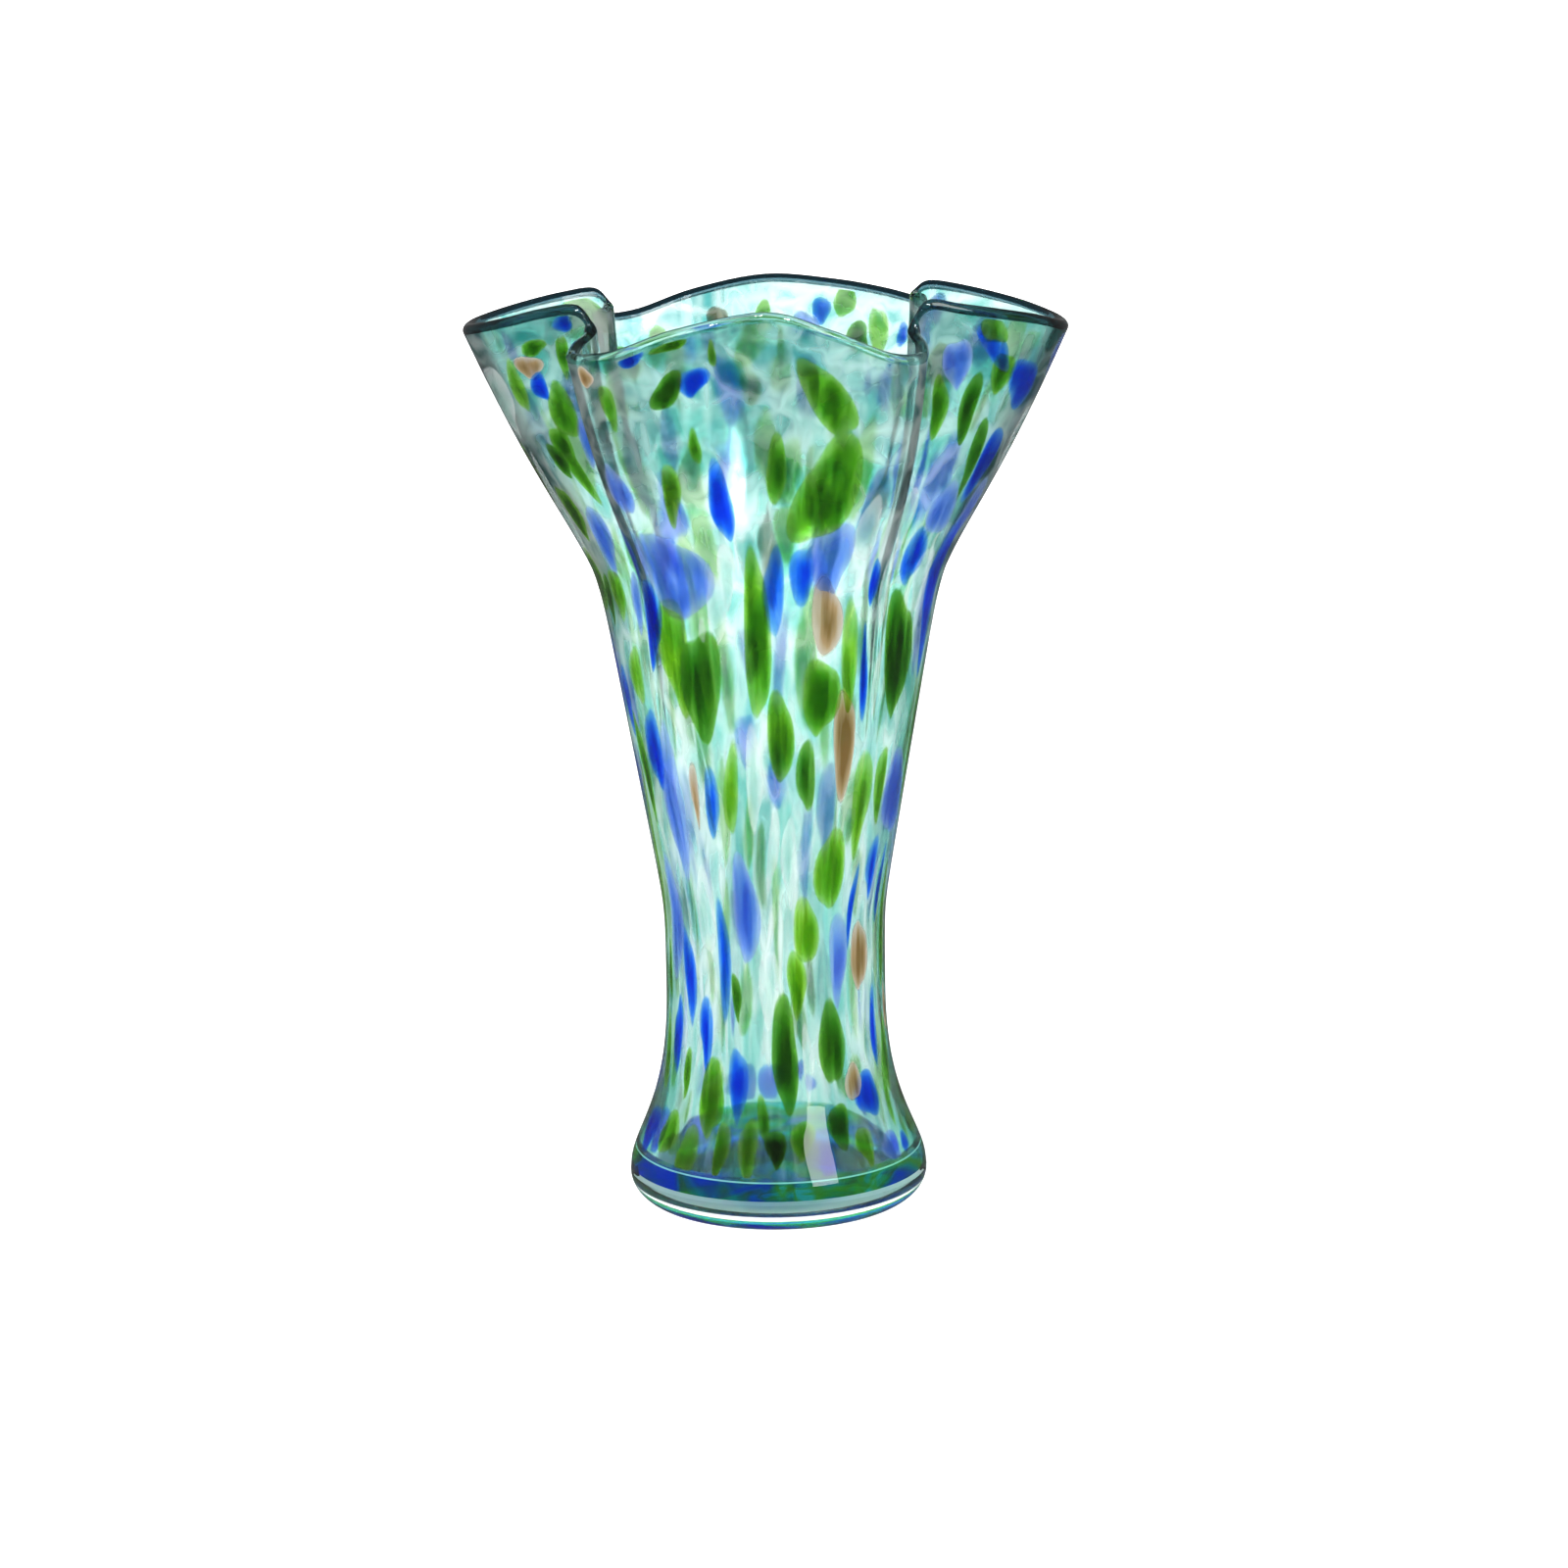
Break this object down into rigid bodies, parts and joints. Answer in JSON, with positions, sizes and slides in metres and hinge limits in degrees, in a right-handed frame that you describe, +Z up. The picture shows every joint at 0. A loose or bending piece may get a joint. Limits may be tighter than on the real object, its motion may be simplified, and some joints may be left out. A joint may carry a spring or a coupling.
{
  "type": "hand blown art glass vase",
  "caption": "Tall waisted glass vase with a flared rim pinched into lobes, coloured chips cased in clear glass, and a heavy clear foot.",
  "frame": {"origin": "centre of the foot's underside, on the table", "axes": "+Z up; the two flared rim lobes lie along X and the two upright ones along Y"},
  "size_m": [0.1932, 0.161, 0.2998],
  "materials": {
    "foot_glass": "fire polished, clear",
    "floor_glass": "clear deep teal",
    "casing_glass": "fire polished, clear",
    "core_glass": "clear, mottled teal",
    "lip_glass": "fire polished, deep teal",
    "green_glass": "clear leaf green",
    "forest_glass": "clear dark green",
    "lime_glass": "clear lime",
    "cobalt_glass": "clear cobalt",
    "periwinkle_glass": "cloudy periwinkle",
    "aventurine_glass": "opaque tan with copper glitter",
    "opal_glass": "cloudy white"
  },
  "bodies": {
    "root": {"foot": "foot_glass", "core_floor": "floor_glass", "casing": "casing_glass", "core": "core_glass", "lip": "lip_glass", "chips_green": "green_glass", "chips_forest": "forest_glass", "chips_lime": "lime_glass", "chips_cobalt": "cobalt_glass", "chips_periwinkle": "periwinkle_glass", "chips_aventurine": "aventurine_glass", "chips_opal": "opal_glass"}
  },
  "joints": []
}
